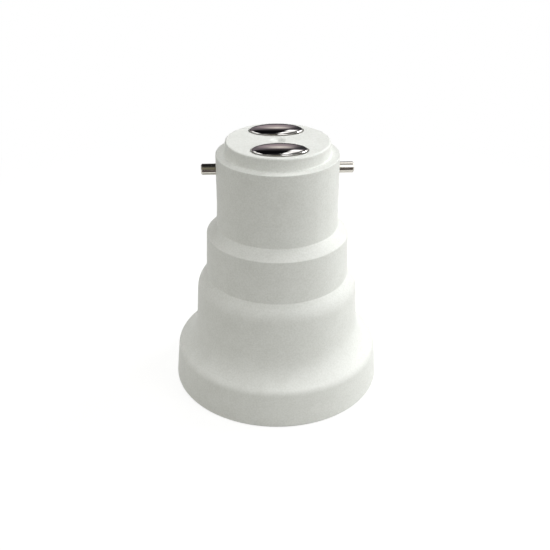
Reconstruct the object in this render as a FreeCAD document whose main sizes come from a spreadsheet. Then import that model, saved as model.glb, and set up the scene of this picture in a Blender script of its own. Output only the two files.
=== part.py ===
import FreeCAD, Part
import Sketcher
import math
import os
import re

from FreeCAD import Rotation, Vector

# Lamp socket adapter: a bayonet lamp cap on top, an Edison screw socket in the wide mouth below.
# Millimetres, +Z up, standing on the mouth's rim. The bayonet pins lie along X, the contacts along Y.

SIZES = {
    # moulded housing, outside, from the mouth up
    "rim_draft": 0.65,
    "rim_height": 7.0,
    "rim_edge_round": 0.4,
    "knee_round": 1.35,
    "flare_width": 3.58,
    "flare_height": 2.35,
    "flare_round": 6.0,
    "bell_draft": 0.62,
    "bell_wall": 1.25,
    "bell_height": 12.95,
    "shoulder_drop": 2.1,
    "shoulder_round": 4.0,
    "collar_draft": 0.3,
    "collar_height": 8.05,
    "collar_edge_round": 0.25,
    "chamfer_width": 1.87,
    "chamfer_height": 1.75,
    "foot_draft": 0.15,
    "foot_draft_height": 3.9,
    "barrel_r": 11.0,
    "barrel_height": 13.4,
    "barrel_edge_round": 0.15,
    "ledge_width": 1.6,
    "boss_draft": 0.12,
    "boss_height": 2.35,
    "boss_edge_round": 0.3,
    "boss_foot_round": 0.3,
    "gate_r": 1.5,
    "gate_depth": 0.15,
    # moulded housing, inside
    "rim_wall": 2.2,
    "flare_wall_drop": 1.35,
    "socket_seat_drop": 2.4,
    "socket_seat_round": 1.0,
    "collar_wall": 1.82,
    "disc_seat_rise": 4.3,
    "disc_ledge": 1.1,
    "cavity_step_height": 3.0,
    "cavity_cone_height": 1.2,
    "barrel_wall": 1.8,
    "top_wall": 3.65,
    "post_inset": 2.0,
    "post_r": 2.3,
    # bayonet pins
    "pin_drop": 5.25,
    "pin_r": 1.0,
    "pin_span": 27.2,
    "pin_tip_chamfer": 0.2,
    "pin_stem_r": 0.8,
    "pin_shoulder_depth": 0.1,
    "pin_inner_offset": 7.2,
    # contact buttons
    "button_length": 9.6,
    "button_width": 5.9,
    "button_edge": 1.18,
    "button_rim_height": 0.6,
    "button_dome_height": 0.65,
    "pocket_gap": 0.25,
    "pocket_depth": 0.5,
    "stem_r": 1.1,
    "stem_head_r": 1.65,
    "stem_head_height": 0.5,
    # screw shell, drawn from sheet
    "thread_root_r": 13.3,
    "sheet_wall": 0.35,
    "shell_setback": 2.4,
    "shell_corner_round": 1.15,
    "neck_round": 0.5,
    "flange_width": 4.6,
    # insulating disc
    "disc_thickness": 3.0,
    "plinth_height": 0.8,
    # centre contact: a sprung leaf with a riveted pip
    "leaf_thickness": 0.4,
    "leaf_width": 4.0,
    "leaf_corner_round": 0.8,
    "leaf_foot_reach": 1.6,
    "leaf_tip_reach": 2.0,
    "leaf_drop": 2.1,
    "leaf_slope_run": 1.4,
    "leaf_bend_round": 0.5,
    "leaf_lip_run": 0.9,
    "leaf_lip_rise": 0.6,
    "pip_r": 1.5,
    "pip_height": 0.8,
    "pip_round": 0.6,
    "pip_shank_r": 0.6,
    "pip_tail_r": 0.9,
    "pip_tail_height": 0.25,
    # rivets, solder tags and fixing screws
    "rivet_shank_r": 0.8,
    "rivet_head_r": 1.2,
    "rivet_head_height": 0.7,
    "rivet_head_round": 0.4,
    "centre_rivet_inset": 1.9,
    "shell_rivet_inset": 2.9,
    "tag_thickness": 0.4,
    "tag_ring_r": 1.8,
    "tag_reach": 2.3,
    "tag_width": 1.8,
    "screw_shank_r": 0.95,
    "screw_length": 9.4,
    "screw_point_height": 1.2,
    "screw_head_r": 1.7,
    "screw_head_height": 1.0,
    "screw_head_round": 0.4,
    "screw_slot_width": 0.45,
    "screw_slot_depth": 0.5,
    # leads, a bare wire in an insulating sleeve
    "wire_r": 0.4,
    "sleeve_wall": 0.35,
    "lead_straight": 2.2,
    "lead_bend_r": 6.0,
    # clearances
    "press_gap": 0.02,
    "hole_gap": 0.05,
    "wire_gap": 0.1,
    "shell_gap": 0.1,
    "neck_gap": 0.3,
    "disc_gap": 0.2,
    "plinth_gap": 0.3,
}

# places that follow from the sizes above, as formulas over them
FORMULAS = {
    "foot_r": "barrel_r + foot_draft",
    "boss_foot_r": "barrel_r - ledge_width",
    "boss_r": "boss_foot_r - boss_draft",
    "collar_top_r": "foot_r + chamfer_width",
    "collar_foot_r": "collar_top_r + collar_draft",
    "bell_top_r": "bore_r + bell_wall",
    "bell_foot_r": "bell_top_r + bell_draft",
    "rim_top_r": "bell_foot_r + flare_width",
    "rim_r": "rim_top_r + rim_draft",
    "bell_foot_z": "rim_height + flare_height",
    "collar_z": "bell_foot_z + bell_height",
    "collar_top_z": "collar_z + collar_height",
    "barrel_z": "collar_top_z + chamfer_height",
    "gauge_z": "barrel_z + foot_draft_height",
    "ledge_z": "barrel_z + barrel_height",
    "top_z": "ledge_z + boss_height",
    "gate_ball_r": "(gate_r * gate_r + gate_depth * gate_depth) / (2 * gate_depth)",
    "shell_r": "thread_root_r + sheet_wall",
    "bore_r": "shell_r + shell_gap",
    "socket_seat_z": "collar_z - socket_seat_drop",
    "collar_bore_r": "collar_foot_r - collar_wall",
    "disc_seat_z": "collar_z + disc_seat_rise",
    "cavity_low_r": "collar_bore_r - disc_ledge",
    "cavity_step_z": "disc_seat_z + cavity_step_height",
    "cavity_r": "barrel_r - barrel_wall",
    "cavity_top_z": "top_z - top_wall",
    "post_offset": "cavity_low_r - post_inset",
    "pin_z": "top_z - pin_drop",
    "pin_shoulder_x": "barrel_r - pin_shoulder_depth",
    "pocket_z": "top_z - pocket_depth",
    "button_offset": "boss_r - button_edge - button_width / 2",
    "button_rim_z": "pocket_z + button_rim_height",
    "button_tag_z": "cavity_top_z - tag_thickness",
    "disc_z": "disc_seat_z - disc_thickness",
    "disc_r": "collar_bore_r - disc_gap",
    "plinth_z": "disc_z - plinth_height",
    "flange_hole_r": "neck_r - flange_width",
    "plinth_r": "flange_hole_r - plinth_gap",
    "centre_rivet_offset": "plinth_r - centre_rivet_inset",
    "shell_rivet_offset": "neck_r - shell_rivet_inset",
    "shell_shoulder_z": "socket_seat_z - shell_gap",
    "neck_r": "collar_bore_r - neck_gap",
    "flange_z": "disc_z - sheet_wall",
    "tag_top_z": "disc_seat_z + tag_thickness",
    "leaf_foot_z": "plinth_z - leaf_thickness",
    "leaf_tip_z": "leaf_foot_z - leaf_drop",
    "screw_head_z": "flange_z - screw_head_height",
    "screw_tip_z": "flange_z + screw_length",
    "eye_r": "wire_r + wire_gap",
    "sleeve_bore_r": "wire_r + wire_gap",
    "live_eye_y": "tag_reach - centre_rivet_offset",
    "neutral_eye_y": "shell_rivet_offset - tag_reach",
    "button_eye_y": "button_offset - tag_reach",
}

doc = FreeCAD.newDocument("lamp_socket_adapter")
sheet = doc.addObject("Spreadsheet::Sheet", "sizes")
for row, (alias, number) in enumerate(SIZES.items(), start=1):
    sheet.set(f"A{row}", alias)
    sheet.set(f"B{row}", str(number))
    sheet.setAlias(f"B{row}", alias)
doc.recompute()


def expand(text):
    """The formula written over the sheet's cells alone."""

    def cell(match):
        word = match.group(0)
        if word in FORMULAS:
            return f"({expand(FORMULAS[word])})"
        return f"sizes.{word}" if word in SIZES else word

    return re.sub("[a-z_]+", cell, text)


def value(text):
    return float(sheet.evalExpression(expand(text)))


def bind(item, **formulas):
    """Bind properties to formulas; two underscores stand for a dot."""
    for name, text in formulas.items():
        item.setExpression(name.replace("__", "."), expand(text))
    return item


def primitive(kind, name, **formulas):
    return bind(doc.addObject(kind, name), **formulas)


def cylinder(name, r, length, x="0", y="0", z="0"):
    return primitive("Part::Cylinder", name, Radius=r, Height=length,
                     Placement__Base__x=x, Placement__Base__y=y, Placement__Base__z=z)


def box(name, length, width, depth, x, y, z):
    return primitive("Part::Box", name, Length=length, Width=width, Height=depth,
                     Placement__Base__x=x, Placement__Base__y=y, Placement__Base__z=z)


def joined(name, pieces):
    union = doc.addObject("Part::MultiFuse", name)
    union.Shapes = pieces
    union.Refine = True
    return union


def cut(name, base, tools):
    result = doc.addObject("Part::Cut", name)
    result.Base = base
    result.Tool = joined(f"{name}_cutters", tools) if len(tools) > 1 else tools[0]
    return result


def sketch_on(body, role, name):
    plane = next(item for item in body.Origin.OriginFeatures if item.Role == role)
    sketch = body.newObject("Sketcher::SketchObject", name)
    sketch.AttachmentSupport = [(plane, "")]
    sketch.MapMode = "FlatFace"
    return sketch


def half_turn(points, i):
    """Half the angle between the two edges that meet in a corner."""
    return (points[i - 1] - points[i]).getAngle(points[(i + 1) % len(points)] - points[i]) / 2


def corner_reach(points, corners, i):
    """How far the corner's arc reaches along both edges when nothing limits it."""
    return value(corners[i][2]) / math.tan(half_turn(points, i)) if len(corners[i]) > 2 else 0


def corner_round(points, corners, i):
    """The corner's radius and reach, where an edge too short for both its rounds shares its length."""
    own = corner_reach(points, corners, i)
    reach = own
    for k in (i - 1, (i + 1) % len(points)):
        edge = (points[k] - points[i]).Length
        reach = min(reach, 0.98 * edge * own / (own + corner_reach(points, corners, k)))
    return reach * math.tan(half_turn(points, i)), reach


def corner_arc(corner, start, end, radius):
    """The arc tangent to both edges, as a sketch stores it, and whether it runs from end to start."""
    middle = (start + end) / 2 - corner
    sine = radius / math.hypot(radius, (start - corner).Length)
    centre = corner + middle.normalize() * (radius / sine)
    turns = [math.atan2(p.y - centre.y, p.x - centre.x) for p in (start, end)]
    backward = (start - centre).cross(end - centre).z < 0
    low, high = turns[::-1] if backward else turns
    ring = Part.Circle(centre, Vector(0, 0, 1), radius)
    return Part.ArcOfCircle(ring, low, high if high > low else high + 2 * math.pi), backward


def hold(sketch, index, place):
    """Hold a start point at the two formulas of its place."""
    for kind, text in zip(("DistanceX", "DistanceY"), place):
        number = sketch.addConstraint(Sketcher.Constraint(kind, -1, 1, index, 1, value(text)))
        sketch.setExpression(f"Constraints[{number}]", expand(text))


def closed_outline(sketch, corners):
    """Straight edges through corners of two formulas each; a third formula rounds the corner with an arc."""
    points = [Vector(value(corner[0]), value(corner[1]), 0) for corner in corners]
    count = len(corners)
    starts, ends, radii = list(points), list(points), {}
    for i, corner in enumerate(corners):
        if len(corner) > 2:
            radii[i], reach = corner_round(points, corners, i)
            starts[i] = points[i] + (points[(i + 1) % count] - points[i]).normalize() * reach
            ends[i] = points[i] + (points[i - 1] - points[i]).normalize() * reach
    for i in range(count):
        sketch.addGeometry(Part.LineSegment(starts[i], ends[(i + 1) % count]), False)
    for i, corner in enumerate(corners):
        before = (i - 1) % count
        if i not in radii:
            sketch.addConstraint(Sketcher.Constraint("Coincident", before, 2, i, 1))
            hold(sketch, i, corner)
            continue
        curve, backward = corner_arc(points[i], ends[i], starts[i], radii[i])
        arc = sketch.addGeometry(curve, False)
        first, last = (2, 1) if backward else (1, 2)
        tip = sketch.addGeometry(Part.Point(points[i]), True)
        sketch.addConstraint(Sketcher.Constraint("Tangent", before, 2, arc, first))
        sketch.addConstraint(Sketcher.Constraint("Tangent", arc, last, i, 1))
        sketch.addConstraint(Sketcher.Constraint("PointOnObject", tip, 1, before))
        sketch.addConstraint(Sketcher.Constraint("PointOnObject", tip, 1, i))
        hold(sketch, tip, corner[:2])
        number = sketch.addConstraint(Sketcher.Constraint("Radius", arc, radii[i]))
        sketch.setExpression(f"Constraints[{number}]", f"min({expand(corner[2])}; {radii[i]})")


def turned(name, corners):
    """A body turned about its Z axis from a profile of (radius, height) corners."""
    body = doc.addObject("PartDesign::Body", name)
    profile = sketch_on(body, "XZ_Plane", f"{name}_profile")
    closed_outline(profile, corners)
    spin = body.newObject("PartDesign::Revolution", f"{name}_turning")
    spin.Profile = profile
    spin.ReferenceAxis = (profile, ["V_Axis"])
    body.Tip = spin
    return body


def sub_part(item, label):
    item.Label = label
    return item


def housing():
    shell = turned(
        "housing_moulding",
        [
            ("rim_r - rim_wall", "0"),
            ("rim_r", "0", "rim_edge_round"),
            ("rim_top_r", "rim_height", "knee_round"),
            ("bell_foot_r", "bell_foot_z", "flare_round"),
            ("bell_top_r", "collar_z - shoulder_drop", "shoulder_round"),
            ("collar_foot_r", "collar_z"),
            ("collar_top_r", "collar_top_z", "collar_edge_round"),
            ("foot_r", "barrel_z"),
            ("barrel_r", "gauge_z"),
            ("barrel_r", "ledge_z", "barrel_edge_round"),
            ("boss_foot_r", "ledge_z", "boss_foot_round"),
            ("boss_r", "top_z", "boss_edge_round"),
            ("0", "top_z"),
            ("0", "cavity_top_z"),
            ("cavity_r", "cavity_top_z"),
            ("cavity_r", "cavity_step_z + cavity_cone_height"),
            ("cavity_low_r", "cavity_step_z"),
            ("cavity_low_r", "disc_seat_z"),
            ("collar_bore_r", "disc_seat_z"),
            ("collar_bore_r", "socket_seat_z"),
            ("bore_r", "socket_seat_z", "socket_seat_round"),
            ("bore_r", "bell_foot_z - flare_wall_drop"),
            ("rim_top_r - rim_wall", "rim_height - flare_wall_drop"),
        ],
    )
    solids = [shell]
    # the mould's gate leaves a shallow round dimple between the two contacts
    tools = [primitive("Part::Sphere", "gate_dimple", Radius="gate_ball_r",
                       Placement__Base__z="top_z - gate_depth + gate_ball_r")]
    for side, sign in (("left", "-1"), ("right", "1")):
        x = f"{sign} * post_offset"
        solids.append(cylinder(f"post_{side}", "post_r", "cavity_top_z - disc_seat_z", x=x, z="disc_seat_z"))
        tools.append(cylinder(f"pilot_{side}", "screw_shank_r + press_gap", "screw_tip_z - disc_seat_z",
                              x=x, z="disc_seat_z"))
        for name, r, start in (("stem_hole", "pin_stem_r", "pin_inner_offset"), ("seat", "pin_r", "pin_shoulder_x")):
            hole = cylinder(f"pin_{name}_{side}", f"{r} + press_gap", f"pin_span / 2 - {start}",
                            x=f"{sign} * {start}", z="pin_z")
            hole.Placement.Rotation = Rotation(Vector(0, 1, 0), 90 * float(sign))
            tools.append(hole)
    for side, sign in (("front", "-1"), ("rear", "1")):
        y = f"{sign} * button_offset"
        tools.append(oval(f"pocket_{side}", "button_length / 2 + pocket_gap", "button_width / 2 + pocket_gap",
                          "pocket_depth", y, "pocket_z"))
        tools.append(cylinder(f"stem_hole_{side}", "stem_r + hole_gap", "top_wall", y=y, z="cavity_top_z"))
    return sub_part(cut("housing", joined("housing_with_posts", solids), tools), "housing")


def oval(name, half_length, half_width, depth, y, z):
    """An upright oval prism, its long axis along X."""
    outline = primitive("Part::Ellipse", f"{name}_outline", MajorRadius=half_length, MinorRadius=half_width,
                        Placement__Base__y=y, Placement__Base__z=z)
    prism = doc.addObject("Part::Extrusion", name)
    prism.Base = outline
    prism.Dir = Vector(0, 0, 1)
    prism.Solid = True
    return bind(prism, LengthFwd=depth)


def bayonet_pin(side, sign):
    pin = turned(
        f"pin_{side}",
        [
            ("0", "pin_inner_offset"),
            ("pin_stem_r", "pin_inner_offset"),
            ("pin_stem_r", "pin_shoulder_x"),
            ("pin_r", "pin_shoulder_x"),
            ("pin_r", "pin_span / 2 - pin_tip_chamfer"),
            ("pin_r - pin_tip_chamfer", "pin_span / 2"),
            ("0", "pin_span / 2"),
        ],
    )
    pin.Placement.Rotation = Rotation(Vector(0, 1, 0), 90 * sign)
    return sub_part(bind(pin, Placement__Base__z="pin_z"), f"bayonet_pin_{side}")


def contact_button(side, sign):
    """An oval domed head in its pocket, a stem through the top wall and a riveted tail under the tag."""
    y = f"{sign} * button_offset"
    dome = primitive("Part::Ellipsoid", f"button_dome_{side}", Radius1="button_dome_height",
                     Radius2="button_length / 2", Radius3="button_width / 2",
                     Placement__Base__y=y, Placement__Base__z="button_rim_z")
    dome.Angle1 = 0
    rim = oval(f"button_rim_{side}", "button_length / 2", "button_width / 2", "button_rim_height", y, "pocket_z")
    stem = cylinder(f"button_stem_{side}", "stem_r", "pocket_z - button_tag_z", y=y, z="button_tag_z")
    tail = cylinder(f"button_tail_{side}", "stem_head_r", "stem_head_height",
                    y=y, z="button_tag_z - stem_head_height")
    return sub_part(joined(f"button_{side}", [dome, rim, stem, tail]), f"contact_button_{side}")


def solder_tag(label, y, toward, z, hole_r):
    """A ring round a rivet or stem, with a tail that reaches toward the axis and ends in a wire eye."""
    eye_y = f"{y} + {toward} * tag_reach"
    tail_y = y if toward > 0 else eye_y
    plate = joined(f"{label}_blank", [
        cylinder(f"{label}_ring", "tag_ring_r", "tag_thickness", y=y, z=z),
        box(f"{label}_tail", "tag_width", "tag_reach", "tag_thickness", "tag_width / -2", tail_y, z),
        cylinder(f"{label}_end", "tag_width / 2", "tag_thickness", y=eye_y, z=z),
    ])
    holes = [
        cylinder(f"{label}_hole", hole_r, "tag_thickness", y=y, z=z),
        cylinder(f"{label}_eye", "eye_r", "tag_thickness", y=eye_y, z=z),
    ]
    return sub_part(cut(f"{label}_plate", plate, holes), label)


def screw_shell():
    """One drawn cup: threaded wall, shoulder, neck and an in-turned flange with holes."""
    cup = turned(
        "shell_cup",
        [
            ("thread_root_r", "shell_setback"),
            ("shell_r", "shell_setback"),
            ("shell_r", "shell_shoulder_z", "shell_corner_round + sheet_wall"),
            ("neck_r", "shell_shoulder_z", "neck_round"),
            ("neck_r", "disc_z", "neck_round + sheet_wall"),
            ("flange_hole_r", "disc_z"),
            ("flange_hole_r", "flange_z"),
            ("neck_r - sheet_wall", "flange_z", "neck_round"),
            ("neck_r - sheet_wall", "shell_shoulder_z - sheet_wall", "neck_round + sheet_wall"),
            ("thread_root_r", "shell_shoulder_z - sheet_wall", "shell_corner_round"),
        ],
    )
    holes = [
        cylinder("flange_hole_left", "screw_shank_r + hole_gap", "sheet_wall", x="-1 * post_offset", z="flange_z"),
        cylinder("flange_hole_right", "screw_shank_r + hole_gap", "sheet_wall", x="post_offset", z="flange_z"),
        cylinder("flange_rivet_hole", "rivet_shank_r + hole_gap", "sheet_wall", y="shell_rivet_offset",
                 z="flange_z"),
    ]
    return sub_part(cut("shell", cup, holes), "screw_shell")


def insulator_disc():
    """The socket's floor, with a round plinth that stands through the shell's flange."""
    blank = turned(
        "disc_blank",
        [
            ("0", "plinth_z"),
            ("plinth_r", "plinth_z"),
            ("plinth_r", "disc_z"),
            ("disc_r", "disc_z"),
            ("disc_r", "disc_seat_z"),
            ("0", "disc_seat_z"),
        ],
    )
    depth = "disc_seat_z - plinth_z"
    holes = [
        cylinder("disc_hole_left", "screw_shank_r + hole_gap", depth, x="-1 * post_offset", z="plinth_z"),
        cylinder("disc_hole_right", "screw_shank_r + hole_gap", depth, x="post_offset", z="plinth_z"),
        cylinder("disc_rivet_hole", "rivet_shank_r + hole_gap", depth, y="-1 * centre_rivet_offset", z="plinth_z"),
        cylinder("disc_shell_hole", "rivet_shank_r + hole_gap", depth, y="shell_rivet_offset", z="plinth_z"),
    ]
    return sub_part(cut("disc", blank, holes), "insulator_disc")


def rivet(label, y, head_z):
    """A domed head below, a shank up through the disc and a tail set down on the tag."""
    body = turned(
        f"{label}_body",
        [
            ("0", f"{head_z} - rivet_head_height"),
            ("rivet_head_r", f"{head_z} - rivet_head_height", "rivet_head_round"),
            ("rivet_head_r", head_z),
            ("rivet_shank_r", head_z),
            ("rivet_shank_r", "tag_top_z"),
            ("rivet_head_r", "tag_top_z"),
            ("rivet_head_r", "tag_top_z + rivet_head_height", "rivet_head_round"),
            ("0", "tag_top_z + rivet_head_height"),
        ],
    )
    return sub_part(bind(body, Placement__Base__y=y), label)


def fixing_screw(side, sign):
    """A slotted pan-head screw up through flange and disc into the housing's post."""
    body = turned(
        f"screw_{side}_body",
        [
            ("0", "screw_head_z"),
            ("screw_head_r", "screw_head_z", "screw_head_round"),
            ("screw_head_r", "flange_z"),
            ("screw_shank_r", "flange_z"),
            ("screw_shank_r", "screw_tip_z - screw_point_height"),
            ("0", "screw_tip_z"),
        ],
    )
    x = f"{sign} * post_offset"
    bind(body, Placement__Base__x=x)
    slot = box(f"screw_{side}_slot", "screw_head_r * 2", "screw_slot_width", "screw_slot_depth",
               f"{x} - screw_head_r", "screw_slot_width / -2", "screw_head_z")
    return sub_part(cut(f"screw_{side}", body, [slot]), f"fixing_screw_{side}")


def contact_pip():
    """The rounded pip that meets the lamp, riveted through the leaf's tip."""
    pip = turned(
        "pip",
        [
            ("0", "leaf_tip_z - pip_height"),
            ("pip_r", "leaf_tip_z - pip_height", "pip_round"),
            ("pip_r", "leaf_tip_z"),
            ("pip_shank_r", "leaf_tip_z"),
            ("pip_shank_r", "leaf_tip_z + leaf_thickness"),
            ("pip_tail_r", "leaf_tip_z + leaf_thickness"),
            ("pip_tail_r", "leaf_tip_z + leaf_thickness + pip_tail_height"),
            ("0", "leaf_tip_z + leaf_thickness + pip_tail_height"),
        ],
    )
    return sub_part(pip, "contact_pip")


def bent_strip(centres, thickness, width, bend_r):
    """A flat strip bent along centre points in the YZ plane, with true rounded bends."""
    sides = ([], [])
    for i, point in enumerate(centres):
        before = (point - centres[i - 1]).normalize() if i > 0 else None
        after = (centres[i + 1] - point).normalize() if i < len(centres) - 1 else None
        along = ((before or after) + (after or before)).normalize()
        normal = Vector(0, -along.z, along.y)
        half = thickness / 2 / normal.dot(Vector(0, -(after or before).z, (after or before).y))
        sides[0].append(point + normal * half)
        sides[1].append(point - normal * half)
    ring = sides[0] + sides[1][::-1]
    face = Part.Face(Part.makePolygon(ring + ring[:1]))
    face.translate(Vector(-width / 2, 0, 0))
    strip = face.extrude(Vector(width, 0, 0))
    for upper, lower, before, after in zip(sides[0][1:-1], sides[1][1:-1], centres, centres[2:]):
        turn_up = (after - upper).cross(before - upper).x > 0
        inner, outer = (upper, lower) if turn_up else (lower, upper)
        strip = round_bend(strip, inner, bend_r)
        strip = round_bend(strip, outer, bend_r + thickness)
    return strip


def round_bend(strip, corner, radius):
    """Round the strip's edge that runs along X through this corner."""
    edges = [edge for edge in strip.Edges
             if all(math.hypot(v.Y - corner.y, v.Z - corner.z) < 1e-6 for v in edge.Vertexes)]
    return strip.makeFillet(radius, edges)


def round_ends(strip, thickness, radius):
    """Round the strip's four corners, whose edges are as long as the strip is thick."""
    corners = [edge for edge in strip.Edges if abs(edge.Length - thickness) < 1e-6]
    return strip.makeFillet(radius, corners)


def centre_contact_leaf():
    half = value("leaf_thickness") / 2
    foot_y = -value("centre_rivet_offset")
    foot_z = value("leaf_foot_z") + half
    tip_z = value("leaf_tip_z") + half
    bend_y = foot_y + value("leaf_foot_reach")
    tip_y = value("leaf_tip_reach")
    centres = [
        Vector(0, foot_y - value("leaf_foot_reach"), foot_z),
        Vector(0, bend_y, foot_z),
        Vector(0, bend_y + value("leaf_slope_run"), tip_z),
        Vector(0, tip_y, tip_z),
        Vector(0, tip_y + value("leaf_lip_run"), tip_z + value("leaf_lip_rise")),
    ]
    strip = bent_strip(centres, 2 * half, value("leaf_width"), value("leaf_bend_round"))
    strip = round_ends(strip, 2 * half, value("leaf_corner_round"))
    foot_hole = Part.makeCylinder(value("rivet_shank_r + hole_gap"), 4 * half, Vector(0, foot_y, foot_z - 2 * half))
    tip_hole = Part.makeCylinder(value("pip_shank_r + press_gap"), 4 * half, Vector(0, 0, tip_z - 2 * half))
    leaf = doc.addObject("Part::Feature", "leaf")
    leaf.Shape = strip.cut([foot_hole, tip_hole])
    return sub_part(leaf, "centre_contact_leaf")


def lead_runs(low_y, high_y):
    """The lead's path from the low eye to the high one: straight at both ends, with a tangent S between."""
    low_z = value("disc_seat_z + press_gap")
    high_z = value("cavity_top_z - press_gap")
    straight, bend_r = value("lead_straight"), value("lead_bend_r")
    corners = [Vector(0, low_y, low_z + straight), Vector(0, high_y, high_z - straight)]
    slant = (corners[1] - corners[0]).normalize()
    up = Vector(0, 0, 1)
    turn = slant.getAngle(up)
    reach = bend_r * math.tan(turn / 2)
    low_arc = arc_between(corners[0] - up * reach, corners[0], corners[0] + slant * reach)
    high_arc = arc_between(corners[1] - slant * reach, corners[1], corners[1] + up * reach)
    ends = [Part.LineSegment(Vector(0, low_y, low_z), corners[0] - up * reach),
            Part.LineSegment(corners[1] + up * reach, Vector(0, high_y, high_z))]
    middle = [low_arc, Part.LineSegment(corners[0] + slant * reach, corners[1] - slant * reach), high_arc]
    return ends, middle


def arc_between(start, corner, end):
    """The arc from start to end that is tangent to both legs of the corner."""
    to_middle = ((start + end) / 2 - corner)
    half_turn = (start - corner).getAngle(to_middle)
    bend_r = (start - corner).Length * math.tan(half_turn)
    centre_distance = (start - corner).Length / math.cos(half_turn)
    middle = corner + to_middle.normalize() * (centre_distance - bend_r)
    return Part.Arc(start, middle, end)


def swept_disc(curves, r):
    path = Part.Wire([curve.toShape() for curve in curves])
    start = curves[0].StartPoint
    along = curves[0].tangent(curves[0].FirstParameter)[0]
    section = Part.Wire([Part.makeCircle(r, start, along)])
    return path.makePipeShell([section], True, False)


def lead(side, low_y, high_y):
    """A bare wire from tag to tag, and the sleeve over the middle of it."""
    ends, middle = lead_runs(low_y, high_y)
    wire = doc.addObject("Part::Feature", f"{side}_wire_sweep")
    wire.Shape = swept_disc([ends[0]] + middle + [ends[1]], value("wire_r"))
    sleeve = doc.addObject("Part::Feature", f"{side}_sleeve_sweep")
    bore = value("sleeve_bore_r")
    sleeve.Shape = swept_disc(middle, bore + value("sleeve_wall")).cut(swept_disc(middle, bore))
    return [sub_part(wire, f"{side}_wire"), sub_part(sleeve, f"{side}_sleeve")]


def build():
    parts = [housing(), screw_shell(), insulator_disc(), contact_pip(), centre_contact_leaf()]
    for side, sign in (("left", -1), ("right", 1)):
        parts.append(bayonet_pin(side, sign))
        parts.append(fixing_screw(side, sign))
    for side, sign in (("front", -1), ("rear", 1)):
        parts.append(contact_button(side, sign))
        parts.append(solder_tag(f"button_tag_{side}", f"{sign} * button_offset", -sign, "button_tag_z",
                                "stem_r + hole_gap"))
    parts.append(solder_tag("centre_tag", "-1 * centre_rivet_offset", 1, "disc_seat_z", "rivet_shank_r + hole_gap"))
    parts.append(solder_tag("shell_tag", "shell_rivet_offset", -1, "disc_seat_z", "rivet_shank_r + hole_gap"))
    parts.append(rivet("centre_contact_rivet", "-1 * centre_rivet_offset", "leaf_foot_z"))
    parts.append(rivet("shell_rivet", "shell_rivet_offset", "flange_z"))
    parts += lead("live", value("live_eye_y"), -value("button_eye_y"))
    parts += lead("neutral", value("neutral_eye_y"), value("button_eye_y"))
    return parts


parts = build()
doc.recompute()
for item in doc.Objects:
    if {"Invalid", "Error"} & set(item.State):
        raise RuntimeError(f"{item.Name} failed: {item.State}")
for part in parts:
    if part.Shape.isNull() or not part.Shape.isValid():
        raise RuntimeError(f"{part.Label} has no valid shape")

os.makedirs("parts", exist_ok=True)
for part in parts:
    part.Shape.exportStep(f"parts/{part.Label}.step")
    print(part.Label, len(part.Shape.Solids), "solid,", round(part.Shape.Volume, 2), "mm3")
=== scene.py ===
import math

import bmesh
import bpy
import numpy as np
from mathutils import Matrix, Vector


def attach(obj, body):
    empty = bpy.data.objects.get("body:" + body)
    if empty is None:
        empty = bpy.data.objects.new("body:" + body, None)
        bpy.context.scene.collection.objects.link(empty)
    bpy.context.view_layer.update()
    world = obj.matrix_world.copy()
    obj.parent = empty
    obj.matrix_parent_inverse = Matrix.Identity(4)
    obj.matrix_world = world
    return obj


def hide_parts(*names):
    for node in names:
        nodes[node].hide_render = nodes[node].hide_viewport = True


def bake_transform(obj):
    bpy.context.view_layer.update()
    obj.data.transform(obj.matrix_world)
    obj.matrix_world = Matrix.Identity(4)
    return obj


# Looks for a lamp socket adapter: a white moulding with a bayonet cap on top and a screw socket below.
# The frame is in metres, +Z up, standing on the mouth's rim; the values in this file are in millimetres.

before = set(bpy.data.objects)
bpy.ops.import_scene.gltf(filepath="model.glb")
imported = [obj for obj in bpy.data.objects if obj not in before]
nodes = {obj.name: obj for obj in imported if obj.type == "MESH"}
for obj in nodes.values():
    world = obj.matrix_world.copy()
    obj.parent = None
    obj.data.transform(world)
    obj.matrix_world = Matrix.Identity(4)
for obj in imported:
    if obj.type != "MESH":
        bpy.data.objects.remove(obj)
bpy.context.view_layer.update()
mm = 0.001
print("frame loaded:", len(nodes), "nodes")


def linearColour(hexText):
    # sRGB hex to linear: c / 12.92 below 0.04045, else ((c + 0.055) / 1.055) to the power 2.4
    parts = [int(hexText[k:k + 2], 16) / 255 for k in (1, 3, 5)]
    return [c / 12.92 if c <= 0.04045 else ((c + 0.055) / 1.055) ** 2.4 for c in parts] + [1.0]


def addNode(tree, kind, sockets=None, steps=None, **settings):
    # adds one node; a socket takes a value, a hex colour or another node's output; steps fill a colour ramp
    node = tree.nodes.new(kind)
    for name, setting in settings.items():
        setattr(node, name, setting)
    for name, source in (sockets or {}).items():
        if isinstance(source, bpy.types.NodeSocket):
            tree.links.new(source, node.inputs[name])
        else:
            node.inputs[name].default_value = linearColour(source) if isinstance(source, str) else source
    for k, (position, hexText) in enumerate(steps or []):
        ramp = node.color_ramp.elements
        element = ramp[k] if k < len(ramp) else ramp.new(position)
        element.position = position
        element.color = linearColour(hexText)
    return node


def startMaterial(name):
    material = bpy.data.materials.new(name)
    material.use_nodes = True
    material.node_tree.nodes.clear()
    return material, material.node_tree


def objectPlace(tree):
    return addNode(tree, "ShaderNodeTexCoord").outputs["Object"]


def endMaterial(tree, surface):
    addNode(tree, "ShaderNodeOutputMaterial", {"Surface": surface})


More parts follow.
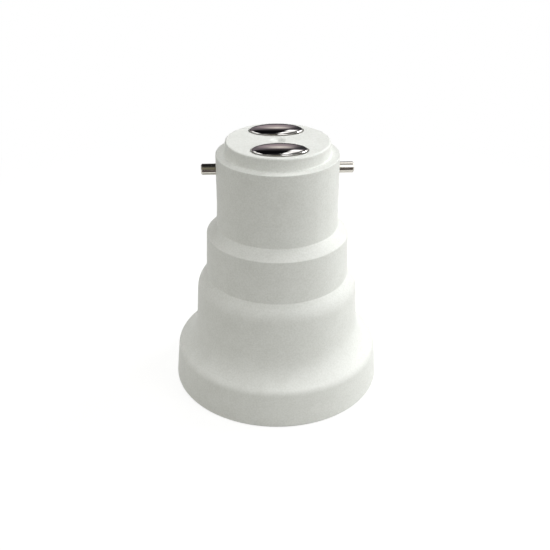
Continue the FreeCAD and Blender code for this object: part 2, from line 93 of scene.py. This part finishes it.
def gridPiece(name, grid, wrapRows=False, wrapColumns=True):
    # grid is (rows, columns, 3) in mm: each cell of four neighbours is a quad, a wrapped direction closes
    # on itself, and rows of equal points merge into a pole
    rows, columns = grid.shape[:2]
    i = np.arange(rows if wrapRows else rows - 1)[:, None]
    j = np.arange(columns if wrapColumns else columns - 1)[None, :]
    below, beside = (i + 1) % rows, (j + 1) % columns
    quads = np.stack(np.broadcast_arrays(i * columns + j, i * columns + beside, below * columns + beside,
                                         below * columns + j), -1).reshape(-1, 4)
    mesh = bpy.data.meshes.new(name)
    mesh.from_pydata((grid.reshape(-1, 3) * mm).tolist(), [], quads.tolist())
    shape = bmesh.new()
    shape.from_mesh(mesh)
    bmesh.ops.remove_doubles(shape, verts=shape.verts, dist=1e-7)
    bmesh.ops.recalc_face_normals(shape, faces=shape.faces)
    shape.to_mesh(mesh)
    shape.free()
    mesh.polygons.foreach_set("use_smooth", np.ones(len(mesh.polygons), bool))
    piece = bpy.data.objects.new(name, mesh)
    bpy.context.scene.collection.objects.link(piece)
    return piece


def roundedCorners(corners, arcSteps=8):
    # a polyline of (across, up, radius) corners; each radius gives an arc tangent to both edges:
    # reach = radius / tan(half angle), centre at radius / sin(half angle) along the bisector
    points = np.array([corner[:2] for corner in corners], float)
    line = []
    for k, (across, up, radius) in enumerate(corners):
        here = points[k]
        if radius == 0 or k in (0, len(corners) - 1):
            line.append(here[None, :])
            continue
        toward = points[k - 1] - here
        away = points[k + 1] - here
        toward, away = toward / np.linalg.norm(toward), away / np.linalg.norm(away)
        half = math.acos(np.clip(toward @ away, -1, 1)) / 2
        middle = (toward + away) / np.linalg.norm(toward + away)
        centre = here + middle * radius / math.sin(half)
        first = here + toward * radius / math.tan(half) - centre
        last = here + away * radius / math.tan(half) - centre
        t = np.linspace(0, 1, arcSteps + 1)[:, None]
        turn = math.pi - 2 * half
        arc = (np.sin((1 - t) * turn) * first + np.sin(t * turn) * last) / math.sin(turn)
        line.append(centre + arc)
    return np.vstack(line)


def smoothStep(t):
    # t^2 (3 - 2 t), with t held between 0 and 1
    t = np.clip(t, 0, 1)
    return t * t * (3 - 2 * t)


def lengthsAlong(line):
    # the length from the line's start to each of its points
    steps = np.linalg.norm(np.diff(line, axis=0), axis=1)
    return np.concatenate([[0], np.cumsum(steps)])


def evenly(line, spacing):
    # the same line with points no further apart than the spacing, by length along it
    lengths = lengthsAlong(line)
    extra = [np.linspace(a, b, max(1, math.ceil((b - a) / spacing)), endpoint=False)
             for a, b in zip(lengths[:-1], lengths[1:]) if b > a]
    wanted = np.concatenate(extra + [[lengths[-1]]])
    return np.column_stack([np.interp(wanted, lengths, line[:, k]) for k in range(2)])


def anglesRound(sides):
    return np.arange(sides) * 2 * math.pi / sides


def turnedGrid(radius, height, sides):
    # a profile turned about the upright axis: x = r cos(angle), y = r sin(angle), z = height, with one row
    # for each height; the radius is one column, or one for each angle where it changes on the way round
    angle = anglesRound(sides)
    return np.stack([radius * np.cos(angle), radius * np.sin(angle), height + 0 * angle], -1)


def dress(piece, material, body=None, slotName=None, stands=()):
    # a CAD node takes the material on its own slots; a new piece gets it on a new slot, hides the CAD nodes
    # it stands for, and goes onto its body when it has one
    if body is None and slotName is None:
        for slot in piece.material_slots:
            slot.material = material
        return piece
    piece.data.materials.append(material)
    if stands:
        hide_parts(*stands)
    if body:
        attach(piece, body)
    return piece


print("tools ready")


# the studio: a pale floor, white surroundings, soft lamps, a tent that only the shiny metal sees, and
# the camera
studio = {
    "floorColour": "#E9E9E6",
    "bounceColour": "#BEBEBA",   # what the floor throws back onto the object, and from further away
    "farColour": "#8A8A86",
    # radii of the floor's rings; it is open inside the first, which the object's rim hides from above
    "floorRings": [19.0, 40.0, 120.0, 300.0, 900.0],
    "floorSides": 96,
    "floorDrop": 0.02,           # below the rim, so that the two faces don't flicker
    "bounceRadius": 110.0,       # the bounce colour changes to the far colour round this radius
    "shadowRadius": 90.0,        # real shading on the floor inside this radius, plain white beyond it
    "shadowShare": 0.30,         # how much of the real shading shows near the object
    "whiteShare": 0.83,          # how much plain white is added to it there
    "changeFrom": 0.4,           # a change round a radius runs from this share of it
    "changeTo": 1.6,             # to this one
    "middle": 24.0,              # height of the object's middle, for the lamps and the tent
    "surroundColour": "#FFFFFF",
    "surroundLight": 0.10,       # strength of the world as light, with white still seen behind the object
}

lamps = {
    # name: direction from the object (x, y, z), distance and width in mm, power in W, colour, seen in metal
    "keySoftbox": ((0.80, 0.35, 0.62), 520.0, 260.0, 1.45, "#FFFFFF", True),
    "topSoftbox": ((0.05, 0.10, 1.00), 520.0, 260.0, 0.60, "#FFFFFF", False),
    "frontRightSoftbox": ((0.85, -0.60, 0.50), 520.0, 260.0, 0.80, "#FFFFFF", False),
    "rightSoftbox": ((1.00, 0.00, 0.45), 520.0, 260.0, 0.26, "#FFFFFF", True),
    "leftFill": ((-1.00, 0.10, 0.60), 520.0, 260.0, 0.65, "#FFFDF8", False),
    "lowLeftFill": ((-1.00, -0.20, 0.10), 520.0, 260.0, 0.12, "#FFFDF8", False),
    "backFill": ((0.10, 1.00, 0.90), 520.0, 260.0, 0.26, "#FFFFFF", False),
    "frontFill": ((0.00, -1.00, 0.50), 520.0, 260.0, 0.48, "#FFFDF8", False),
    # comes up through the opening in the floor, to the mouth and the rim's lower face
    "underLight": ((0.00, 0.00, -1.00), 520.0, 260.0, 0.80, "#FFFFFF", False),
}

tent = {
    "radius": 700.0,
    "lowest": -14,              # degrees; the floor shows below this
    "step": 1.0,                # degrees between its points
    "wallColour": "#B8B8B4",
}

panels = {
    # name: azimuth and half width (0 is away from the camera, 90 to the right), elevation and half height,
    # soft edge, all in degrees; colour and strength. Each lies over the ones before it.
    "backWall": (-12, 44, 24, 20, 4, "#7A7378", 1.0),
    "backCard": (2, 5.5, 18.5, 8, 4, "#B2A4A9", 1.0),
    "backHorizon": (0, 50, -2, 11.5, 4.5, "#26202A", 1.0),
    "backLight": (4, 3, 26.5, 3.5, 4, "#FFF6EE", 1.1),
    "backShade": (-8, 24, 40, 6, 3, "#343234", 1.0),
    "backDark": (17, 7, 12, 20, 3, "#404042", 1.0),
    "rightShade": (30, 8, 24, 12, 4, "#5C5C5E", 1.0),
    "rightOpening": (60, 23, 12, 18, 3, "#FFFFFF", 2.0),
    "rightPost": (108, 12, 16, 34, 3, "#4C4C4C", 1.0),
    "darkCeiling": (-57.5, 69.5, 66, 24, 2.5, "#101012", 1.0),
    "zenithNet": (0, 180, 90, 13, 6, "#3E3E40", 1.0),
    "greyCeiling": (76, 50, 62, 24, 4, "#747472", 1.0),
    "overheadGrey": (66, 58, 73, 9, 3, "#6C6C6A", 1.0),
    "backSkylight": (17.3, 6.2, 42.5, 5.5, 1.2, "#FFFFFF", 2.0),
    "backMiddleSkylight": (23, 6.5, 54, 6, 1.5, "#FFFFFF", 1.3),
    "backUpperSkylight": (22.5, 8.5, 66, 7, 1.5, "#FFFFFF", 2.8),
    "rightSkylight": (58, 6, 51, 6, 3, "#FFFFFF", 1.6),
    "overheadSkylight": (96, 26, 82, 4, 2, "#FFFFFF", 1.6),
    "leftSkylight": (-55, 22, 42, 7, 3, "#FFFFFF", 1.5),
    "leftHighSkylight": (-86, 22, 50, 10, 3, "#FFFFFF", 2.4),
    "leftNearSkylight": (-104, 12, 35, 11, 3, "#FFFFFF", 1.5),
    "cameraSideWall": (190, 16, 34, 22, 5, "#8E8B7A", 1.0),
    "cameraSideCeiling": (196, 28, 70, 12, 5, "#383630", 1.0),
    "cameraSideOpening": (157, 14, 40, 24, 3, "#FFFFFF", 2.4),
    "cameraSideHorizon": (182, 45, -1, 15, 4, "#524B49", 1.0),
}

frontFlag = {
    # a dark cloth on the floor towards the camera, which only the pins see
    "colour": "#5C5350",
    "inner": 52.0,
    "outer": 420.0,
    "height": 1.0,
    "left": 145,                # azimuths, degrees
    "right": 225,
    "rows": 9,
    "columns": 41,
}


def whiteBehind(tree, shown, lighting):
    # camera, glossy and transmission rays take the first shader, every other ray the second
    rays = addNode(tree, "ShaderNodeLightPath").outputs
    direct = addNode(tree, "ShaderNodeMath", {0: rays["Is Camera Ray"], 1: rays["Is Glossy Ray"]},
                     operation="MAXIMUM")
    looking = addNode(tree, "ShaderNodeMath", {0: direct.outputs[0], 1: rays["Is Transmission Ray"]},
                      operation="MAXIMUM")
    return addNode(tree, "ShaderNodeMixShader", {0: looking.outputs[0], 1: lighting, 2: shown}).outputs[0]


def byDistance(tree, distance, radius, near, far):
    # goes smoothly from the near value to the far one around the radius
    return addNode(tree, "ShaderNodeMapRange", {
        "Value": distance, "From Min": studio["changeFrom"] * radius * mm,
        "From Max": studio["changeTo"] * radius * mm, "To Min": near, "To Max": far},
        interpolation_type="SMOOTHSTEP").outputs[0]


def makeFloor():
    # a flat ring: x = r cos(angle), y = r sin(angle), z = -drop. Its faces point down, and from that side
    # it is clear, so that the socket can be seen from below
    radii = np.array(studio["floorRings"])[:, None]
    grid = turnedGrid(radii, 0 * radii - studio["floorDrop"], studio["floorSides"])
    floor = gridPiece("studioFloor", grid)
    material, tree = startMaterial("paintedStudioFloor")
    away = addNode(tree, "ShaderNodeVectorMath", {0: objectPlace(tree)}, operation="LENGTH").outputs["Value"]
    paintColour = addNode(tree, "ShaderNodeMix", {
        0: byDistance(tree, away, studio["bounceRadius"], 0.0, 1.0),
        6: studio["bounceColour"], 7: studio["farColour"]}, data_type="RGBA")
    paint = addNode(tree, "ShaderNodeBsdfDiffuse", {"Color": paintColour.outputs[2]})
    shading = addNode(tree, "ShaderNodeBsdfDiffuse", {"Color": studio["floorColour"]})
    white = addNode(tree, "ShaderNodeEmission", {"Color": "#FFFFFF", "Strength": 1.0})
    nothing = addNode(tree, "ShaderNodeEmission", {"Strength": 0.0})
    shaded = addNode(tree, "ShaderNodeMixShader", {
        0: byDistance(tree, away, studio["shadowRadius"], studio["shadowShare"], 0.0),
        1: nothing.outputs[0], 2: shading.outputs[0]})
    lit = addNode(tree, "ShaderNodeMixShader", {
        0: byDistance(tree, away, studio["shadowRadius"], studio["whiteShare"], 1.0),
        1: nothing.outputs[0], 2: white.outputs[0]})
    shown = addNode(tree, "ShaderNodeAddShader", {0: shaded.outputs[0], 1: lit.outputs[0]})
    floorTop = whiteBehind(tree, shown.outputs[0], paint.outputs[0])
    side = addNode(tree, "ShaderNodeNewGeometry").outputs["Backfacing"]
    clear = addNode(tree, "ShaderNodeBsdfTransparent")
    oneSided = addNode(tree, "ShaderNodeMixShader", {0: side, 1: clear.outputs[0], 2: floorTop})
    endMaterial(tree, oneSided.outputs[0])
    floor.data.materials.append(material)


def makeSurroundings():
    world = bpy.data.worlds.new("whiteStudio")
    world.use_nodes = True
    tree = world.node_tree
    tree.nodes.clear()
    shown = addNode(tree, "ShaderNodeBackground", {"Color": "#FFFFFF", "Strength": 1.0})
    lighting = addNode(tree, "ShaderNodeBackground", {"Color": studio["surroundColour"],
                       "Strength": studio["surroundLight"]})
    seen = whiteBehind(tree, shown.outputs[0], lighting.outputs[0])
    addNode(tree, "ShaderNodeOutputWorld", {"Surface": seen})
    bpy.context.scene.world = world


def makeLamps():
    for name, (direction, distance, width, power, hexText, shows) in lamps.items():
        light = bpy.data.lights.new(name, "AREA")
        light.shape = "DISK"
        light.size = width * mm
        light.energy = power
        light.color = linearColour(hexText)[:3]
        lamp = bpy.data.objects.new(name, light)
        bpy.context.scene.collection.objects.link(lamp)
        toward = Vector(direction).normalized()
        lamp.location = Vector((0, 0, studio["middle"])) * mm + toward * distance * mm
        lamp.rotation_euler = toward.to_track_quat("Z", "Y").to_euler()
        lamp.visible_glossy = shows


def stageMetalOnly(piece, material):
    # a part of the studio that shows in reflections and nowhere else
    piece.data.materials.append(material)
    for kind in ("camera", "diffuse", "transmission", "volume_scatter", "shadow"):
        setattr(piece, "visible_" + kind, False)


def makeTent():
    # what only the shiny metal sees. A sphere open at its foot: x = R sin(azimuth) cos(elevation),
    # y = R cos(azimuth) cos(elevation), z = R sin(elevation). A panel covers a point by s(across) s(up),
    # with s = smoothstep((half size + soft - distance from its middle) / (2 soft))
    azimuth = np.radians(np.arange(0, 360, tent["step"]))[None, :]
    elevation = np.radians(np.arange(tent["lowest"], 90 + tent["step"], tent["step"]))[:, None]
    grid = np.stack([np.sin(azimuth) * np.cos(elevation), np.cos(azimuth) * np.cos(elevation),
                     np.sin(elevation) + 0 * azimuth], -1) * tent["radius"]
    middle = np.array([0, 0, studio["middle"]])
    piece = gridPiece("studioTent", grid + middle)
    mesh = piece.data
    spots = np.empty(len(mesh.vertices) * 3)
    mesh.vertices.foreach_get("co", spots)
    x, y, z = (spots.reshape(-1, 3) / mm - middle).T / tent["radius"]
    azimuth, elevation = np.degrees(np.arctan2(x, y)), np.degrees(np.arcsin(np.clip(z, -1, 1)))
    glow = np.tile(linearColour(tent["wallColour"]), (len(x), 1))
    for bearing, halfWidth, height, halfHeight, soft, hexText, strength in panels.values():
        across = np.abs((azimuth - bearing + 180) % 360 - 180)
        up = np.abs(elevation - height)
        sides = [smoothStep((half + soft - far) / (2 * soft)) for half, far in
                 ((halfWidth, across), (halfHeight, up))]
        cover = np.prod(sides, axis=0)[:, None]
        glow = glow * (1 - cover) + np.array(linearColour(hexText)) * strength * cover
    glow[:, 3] = 1.0
    mesh.color_attributes.new("glow", "FLOAT_COLOR", "POINT").data.foreach_set("color", glow.ravel())
    material, tree = startMaterial("tentCloth")
    cloth = addNode(tree, "ShaderNodeAttribute", attribute_name="glow")
    endMaterial(tree, addNode(tree, "ShaderNodeEmission", {"Color": cloth.outputs["Color"]}).outputs[0])
    stageMetalOnly(piece, material)


def makeFrontFlag():
    # a flat sector just over the floor: x = r sin(azimuth), y = r cos(azimuth), z = height
    azimuth = np.linspace(frontFlag["left"], frontFlag["right"], frontFlag["columns"])
    azimuth = np.radians(azimuth)[None, :]
    radius = np.linspace(frontFlag["inner"], frontFlag["outer"], frontFlag["rows"])[:, None]
    height = frontFlag["height"] + 0 * radius * azimuth
    grid = np.stack([radius * np.sin(azimuth), radius * np.cos(azimuth), height], -1)
    piece = gridPiece("frontFlag", grid, wrapColumns=False)
    material, tree = startMaterial("frontFlagCloth")
    endMaterial(tree, addNode(tree, "ShaderNodeEmission", {"Color": frontFlag["colour"]}).outputs[0])
    stageMetalOnly(piece, material)


view = {
    "distance": 136.32,     # from the axis, along the floor
    "height": 96.45,
    "turn": 3.6,            # the object's own turn, degrees
    "pitch": 29.02,         # downward, degrees
    "yaw": -0.15,
    "roll": -0.34,
    "lens": 53.40,
    "sensorWidth": 36.0,
    "nearest": 5.0,         # nothing nearer to the camera than this shows
}


def makeCamera():
    # forward = (sin yaw cos pitch, cos yaw cos pitch, -sin pitch), then all of it turns by the object's
    # own turn
    pitch, yaw, roll = (math.radians(view[k]) for k in ("pitch", "yaw", "roll"))
    forward = Vector((math.sin(yaw) * math.cos(pitch), math.cos(yaw) * math.cos(pitch), -math.sin(pitch)))
    right = Vector((math.cos(yaw), -math.sin(yaw), 0))
    down = forward.cross(right)
    turnedRight = math.cos(roll) * right + math.sin(roll) * down
    turnedDown = math.cos(roll) * down - math.sin(roll) * right
    place = Matrix.Rotation(-math.radians(view["turn"]), 4, "Z")
    pose = Matrix((turnedRight, -turnedDown, -forward)).transposed().to_4x4()
    pose.translation = Vector((0, -view["distance"], view["height"])) * mm
    camera = bpy.data.objects.new("camera", bpy.data.cameras.new("camera"))
    bpy.context.scene.collection.objects.link(camera)
    camera.matrix_world = place @ pose
    camera.data.sensor_width = view["sensorWidth"]
    camera.data.lens = view["lens"]
    camera.data.clip_start = view["nearest"] * mm
    bpy.context.scene.camera = camera


makeFloor()
makeSurroundings()
makeLamps()
makeTent()
makeFrontFlag()
makeCamera()
bpy.context.scene.view_settings.view_transform = "Standard"
print("studio ready")


moulding = {
    "colour": "#E2E4DF",
    "paleColour": "#EDEFEB",
    "roughness": 0.55,
    "roughnessSpread": 0.05,
    "ior": 1.5,
    "specular": 0.35,
    "grainSize": 0.30,      # mm, the spark-eroded tool's grain is finer and is drawn this coarse to show
    "grainDepth": 0.016,
    "grainStrength": 0.35,
    "grainNoise": {"Detail": 3.0, "Roughness": 0.6},
    "mottleSize": 2.6,
    "mottleShare": 0.3,
    "mottleNoise": {"Detail": 4.0, "Roughness": 0.65},
    "paleFrom": 0.38,       # the colour turns pale between these two levels of the noise
    "paleTo": 0.62,
    "gateRadius": 1.5,      # the dimple that the gate leaves between the contacts
    "gateDepth": 0.45,      # of its bump, which deepens the shading of the shallower dimple in the mesh
}


def matteMoulding():
    # white thermoset moulded in a spark-eroded tool: an even dull sheen with a fine grain, no gloss
    material, tree = startMaterial("matteWhiteMoulding")
    place = objectPlace(tree)
    grain = addNode(tree, "ShaderNodeTexNoise", {
        "Vector": place, "Scale": 1 / (moulding["grainSize"] * mm), **moulding["grainNoise"]})
    mottle = addNode(tree, "ShaderNodeTexNoise", {
        "Vector": place, "Scale": 1 / (moulding["mottleSize"] * mm), **moulding["mottleNoise"]})
    both = addNode(tree, "ShaderNodeMix", {0: moulding["mottleShare"], 2: grain.outputs["Fac"],
                   3: mottle.outputs["Fac"]})
    colour = addNode(tree, "ShaderNodeValToRGB", {"Fac": both.outputs[0]},
                     steps=[(moulding["paleFrom"], moulding["colour"]),
                            (moulding["paleTo"], moulding["paleColour"])])
    dull = addNode(tree, "ShaderNodeMapRange", {
        "Value": mottle.outputs["Fac"], "To Min": moulding["roughness"] - moulding["roughnessSpread"],
        "To Max": moulding["roughness"] + moulding["roughnessSpread"]})
    bump = addNode(tree, "ShaderNodeBump", {"Height": grain.outputs["Fac"],
                   "Strength": moulding["grainStrength"], "Distance": moulding["grainDepth"] * mm})
    flat = addNode(tree, "ShaderNodeVectorMath", {0: place, 1: (1.0, 1.0, 0.0)}, operation="MULTIPLY")
    away = addNode(tree, "ShaderNodeVectorMath", {0: flat.outputs[0]}, operation="LENGTH")
    rise = addNode(tree, "ShaderNodeMapRange", {"Value": away.outputs["Value"],
                   "From Max": moulding["gateRadius"] * mm}, interpolation_type="SMOOTHSTEP")
    dimple = addNode(tree, "ShaderNodeBump", {"Height": rise.outputs[0], "Strength": 1.0,
                     "Distance": moulding["gateDepth"] * mm, "Normal": bump.outputs["Normal"]})
    plastic = addNode(tree, "ShaderNodeBsdfPrincipled", {"Base Color": colour.outputs["Color"],
                      "Roughness": dull.outputs[0], "IOR": moulding["ior"],
                      "Specular IOR Level": moulding["specular"], "Normal": dimple.outputs["Normal"]})
    endMaterial(tree, plastic.outputs[0])
    return material


whiteMoulding = matteMoulding()
dress(nodes["housing"], whiteMoulding)
print("moulding ready")


metals = {
    # name: (dark hex, light hex, roughness, mark size in mm, stretch along x y z, bump depth in mm)
    # drawn pin, nickel plated: sharp bands of light and dark along the pin, faint draw lines
    "drawnNickelPin": ("#C0BCB4", "#CCC8C1", 0.09, 0.08, (0.04, 1.0, 1.0), 0.0004),
    # pressed contact under bright nickel: a near mirror, hardly a mark on it
    "brightNickelPlate": ("#CCC9C7", "#D2D0CE", 0.035, 0.90, (1.0, 1.0, 1.0), 0.0004),
    # thin brass sheet rolled to a thread, dull nickel over it: soft streaks of light round the turns
    "drawnNickelBrass": ("#BDB7A8", "#CAC5B8", 0.26, 0.25, (1.0, 1.0, 0.15), 0.0012),
    # phosphor bronze strip: a warm brown satin with rolling lines along it
    "rolledBronze": ("#A8743C", "#C08B50", 0.32, 0.12, (1.0, 0.04, 1.0), 0.003),
    # brass off the lathe: yellow, with fine rings that catch the light
    "turnedBrass": ("#BE9A4E", "#D2B268", 0.24, 0.12, (0.1, 0.1, 1.0), 0.002),
    # tin dipped brass: pale grey, cloudy
    "tinPlate": ("#AFADA6", "#C2C0BA", 0.38, 0.50, (1.0, 1.0, 1.0), 0.004),
    # zinc plated steel: a bluish grey satin
    "zincPlatedSteel": ("#9DA1A6", "#B4B7BB", 0.34, 0.30, (1.0, 1.0, 1.0), 0.003),
    # tinned copper wire: silvery, with draw lines along it
    "tinnedCopperWire": ("#B3ADA4", "#C4BFB7", 0.30, 0.20, (1.0, 1.0, 0.1), 0.002),
}

metalMarks = {
    "noise": {"Detail": 3.0, "Roughness": 0.6},
    "lightFrom": 0.35,      # the colour turns light between these two levels of the noise
    "lightTo": 0.65,
    "dullFrom": 0.3,        # and the surface duller between these two
    "dullTo": 0.7,
    "dullSpread": 0.2,      # share of the roughness, to each side
    "bumpStrength": 0.3,
}


def platedMetal(name):
    # a bare or plated metal: fine marks drawn out along the way it was turned, rolled or drawn
    dark, light, roughness, size, stretch, depth = metals[name]
    material, tree = startMaterial(name)
    drawn = addNode(tree, "ShaderNodeMapping", {"Vector": objectPlace(tree), "Scale": stretch})
    marks = addNode(tree, "ShaderNodeTexNoise", {
        "Vector": drawn.outputs[0], "Scale": 1 / (size * mm), **metalMarks["noise"]})
    colour = addNode(tree, "ShaderNodeValToRGB", {"Fac": marks.outputs["Fac"]},
                     steps=[(metalMarks["lightFrom"], dark), (metalMarks["lightTo"], light)])
    dull = addNode(tree, "ShaderNodeMapRange", {
        "Value": marks.outputs["Fac"], "From Min": metalMarks["dullFrom"], "From Max": metalMarks["dullTo"],
        "To Min": roughness * (1 - metalMarks["dullSpread"]),
        "To Max": roughness * (1 + metalMarks["dullSpread"])})
    bump = addNode(tree, "ShaderNodeBump", {"Height": marks.outputs["Fac"],
                   "Strength": metalMarks["bumpStrength"], "Distance": depth * mm})
    metal = addNode(tree, "ShaderNodeBsdfPrincipled", {"Base Color": colour.outputs["Color"],
                    "Metallic": 1.0, "Roughness": dull.outputs[0], "Normal": bump.outputs["Normal"]})
    endMaterial(tree, metal.outputs[0])
    return material


nonMetals = {
    # name: (dark hex, light hex, roughness, grain size in mm, bump depth in mm)
    # fired steatite: cream white, chalky, with a faint speckle
    "firedSteatite": ("#D9D5C9", "#E6E3DA", 0.45, 0.35, 0.01),
    # extruded sleeving: an even colour with a soft shine
    "brownSleeving": ("#4A2416", "#5A3020", 0.38, 0.50, 0.004),
    "blueSleeving": ("#153C86", "#1E4A9A", 0.38, 0.50, 0.004),
}

softGrain = {
    "detail": 4.0,
    "lightFrom": 0.35,      # the colour turns light between these two levels of the noise
    "lightTo": 0.65,
    "dullSpread": 0.06,     # of the roughness, to each side
    "bumpStrength": 0.3,
}


def grainedBody(name):
    # ceramic or extruded plastic: one soft grain in colour, sheen and surface
    dark, light, roughness, size, depth = nonMetals[name]
    material, tree = startMaterial(name)
    grain = addNode(tree, "ShaderNodeTexNoise", {
        "Vector": objectPlace(tree), "Scale": 1 / (size * mm), "Detail": softGrain["detail"]})
    colour = addNode(tree, "ShaderNodeValToRGB", {"Fac": grain.outputs["Fac"]},
                     steps=[(softGrain["lightFrom"], dark), (softGrain["lightTo"], light)])
    dull = addNode(tree, "ShaderNodeMapRange", {
        "Value": grain.outputs["Fac"], "To Min": roughness - softGrain["dullSpread"],
        "To Max": roughness + softGrain["dullSpread"]})
    bump = addNode(tree, "ShaderNodeBump", {"Height": grain.outputs["Fac"],
                   "Strength": softGrain["bumpStrength"], "Distance": depth * mm})
    body = addNode(tree, "ShaderNodeBsdfPrincipled", {"Base Color": colour.outputs["Color"],
                   "Roughness": dull.outputs[0], "Normal": bump.outputs["Normal"]})
    endMaterial(tree, body.outputs[0])
    return material


finish = {name: platedMetal(name) for name in metals}
finish.update({name: grainedBody(name) for name in nonMetals})

nodeFinish = {
    "bayonet_pin_left": "drawnNickelPin",
    "bayonet_pin_right": "drawnNickelPin",
    "contact_button_front": "brightNickelPlate",
    "contact_button_rear": "brightNickelPlate",
    "button_tag_front": "tinPlate",
    "button_tag_rear": "tinPlate",
    "screw_shell": "drawnNickelBrass",
    "insulator_disc": "firedSteatite",
    "centre_contact_leaf": "rolledBronze",
    "contact_pip": "turnedBrass",
    "centre_contact_rivet": "turnedBrass",
    "centre_tag": "tinPlate",
    "shell_rivet": "turnedBrass",
    "shell_tag": "tinPlate",
    "fixing_screw_left": "zincPlatedSteel",
    "fixing_screw_right": "zincPlatedSteel",
    "live_wire": "tinnedCopperWire",
    "live_sleeve": "brownSleeving",
    "neutral_wire": "tinnedCopperWire",
    "neutral_sleeve": "blueSleeving",
}
for name, finishName in nodeFinish.items():
    dress(nodes[name], finish[finishName])
print("node finishes ready")


shell = {
    "rimHeight": 2.4,
    "threadEnd": 18.3,
    "rootRadius": 13.3,
    "threadDepth": 1.05,
    "pitch": 3.629,
    "plainLip": 0.5,        # height of the plain wall at the rim
    "riseLength": 1.6,      # over which the thread grows to its full depth
    "fallLength": 1.8,      # over which it ends below the shoulder
    "sheet": 0.35,
    "shoulderHeight": 19.8,
    "neckRadius": 11.2,
    "flangeTop": 23.6,
    "flangeHole": 6.6,
    # each corner's radius inside the cup and outside it
    "shoulderRounds": (0.975, 1.3),
    "neckRounds": (0.85, 0.5),
    "flangeRounds": (0.5, 0.85),
    "holeRound": 0.12,
    "rowStep": 0.16,
    "lineStep": 0.5,        # longest step along the shoulder, neck and flange
    "sides": 240,
}


def makeShell():
    # radius = root - depth x rise(z) x fall(z) x (1 - cos(2 pi z / pitch - angle)) / 2 on the threaded
    # wall, a right-hand thread, with the outside one sheet away; shoulder, neck and flange are a plain
    # turned line
    root, rim, end = shell["rootRadius"], shell["rimHeight"], shell["threadEnd"]
    height = np.arange(rim, end, shell["rowStep"])[:, None]
    rise = smoothStep((height - rim - shell["plainLip"]) / shell["riseLength"])
    fall = smoothStep((end - height) / shell["fallLength"])
    wave = (1 - np.cos(2 * math.pi * height / shell["pitch"] - anglesRound(shell["sides"]))) / 2
    inner = root - shell["threadDepth"] * rise * fall * wave
    sheet = shell["sheet"]
    neck, top, low = shell["neckRadius"], shell["flangeTop"], shell["shoulderHeight"]
    shoulderInside, shoulderOutside = shell["shoulderRounds"]
    neckInside, neckOutside = shell["neckRounds"]
    flangeInside, flangeOutside = shell["flangeRounds"]
    crown = evenly(roundedCorners([
        (root, end, 0),
        (root, low - sheet, shoulderInside),
        (neck - sheet, low - sheet, neckInside),
        (neck - sheet, top - sheet, flangeInside),
        (shell["flangeHole"], top - sheet, shell["holeRound"]),
        (shell["flangeHole"], top, shell["holeRound"]),
        (neck, top, flangeOutside),
        (neck, low, neckOutside),
        (root + sheet, low, shoulderOutside),
        (root + sheet, end, 0),
    ]), shell["lineStep"])
    grid = np.concatenate([turnedGrid(inner, height, shell["sides"]),
                           turnedGrid(crown[:, :1], crown[:, 1:], shell["sides"]),
                           turnedGrid(inner[::-1] + sheet, height[::-1], shell["sides"])])
    piece = gridPiece("threadedShell", grid, wrapRows=True)
    return dress(piece, finish["drawnNickelBrass"], "adapter", "nickel", ["screw_shell"])


threadedShell = makeShell()
print("screw shell ready:", len(threadedShell.data.polygons), "faces")


leafSizes = {
    "thickness": 0.4,
    "width": 4.0,
    "endRound": 0.8,
    "edgeRound": 0.1,
    "bend": 0.7,
    "bendSteps": 6,         # points round each bend
    "lineStep": 0.12,       # longest step along the leaf
    "ringPoints": 32,       # points round its cross-section
    # centre line in the YZ plane: foot end, bend down, bend level, lip bend, lip end
    "path": [(-6.0, 22.6), (-2.8, 22.6), (-1.4, 20.5), (2.0, 20.5), (2.9, 21.05)],
    "blendStart": -3.1,
    "blendEnd": -1.0,
}


def makeLeaf():
    # a rounded rectangle carried along the bent centre line; its half width near each end follows the
    # end's corner arc: w = width / 2 - R + sqrt(R^2 - (R - s)^2) at a length s from the end
    corners = [(y, z, leafSizes["bend"]) for y, z in leafSizes["path"]]
    line = evenly(roundedCorners(corners, leafSizes["bendSteps"]), leafSizes["lineStep"])
    lengths = lengthsAlong(line)
    along = np.gradient(line, lengths, axis=0)
    along /= np.linalg.norm(along, axis=1)[:, None]
    normal = np.column_stack([-along[:, 1], along[:, 0]])
    radius = leafSizes["endRound"]
    fromEnd = np.minimum(np.minimum(lengths, lengths[-1] - lengths), radius)
    cornerArc = np.sqrt(np.maximum(radius ** 2 - (radius - fromEnd) ** 2, 0))
    halfWidth = leafSizes["width"] / 2 - radius + cornerArc
    edge, halfThick = leafSizes["edgeRound"], leafSizes["thickness"] / 2
    # round the cross-section each point is an edge arc's point moved out to its corner's side; rounding
    # gives 0 to the points that lie midway on a side
    turn = anglesRound(leafSizes["ringPoints"])
    sideX, sideY = (np.sign(np.round(part, 9)) for part in (np.cos(turn), np.sin(turn)))
    across = sideX * (halfWidth[:, None] - edge) + edge * np.cos(turn)
    thick = sideY * (halfThick - edge) + edge * np.sin(turn)
    y = line[:, :1] + normal[:, :1] * thick
    z = line[:, 1:] + normal[:, 1:] * thick
    grid = np.stack([across, y, z], -1)
    first, last = (np.repeat(row.mean(axis=1, keepdims=True), len(turn), axis=1)
                   for row in (grid[:1], grid[-1:]))
    piece = gridPiece("sprungLeaf", np.concatenate([first, grid, last]))
    dress(piece, finish["rolledBronze"], None, "bronze", ["centre_contact_leaf"])
    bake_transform(piece)
    return piece


sprungLeaf = makeLeaf()
print("centre contact ready:", len(sprungLeaf.data.polygons), "faces")
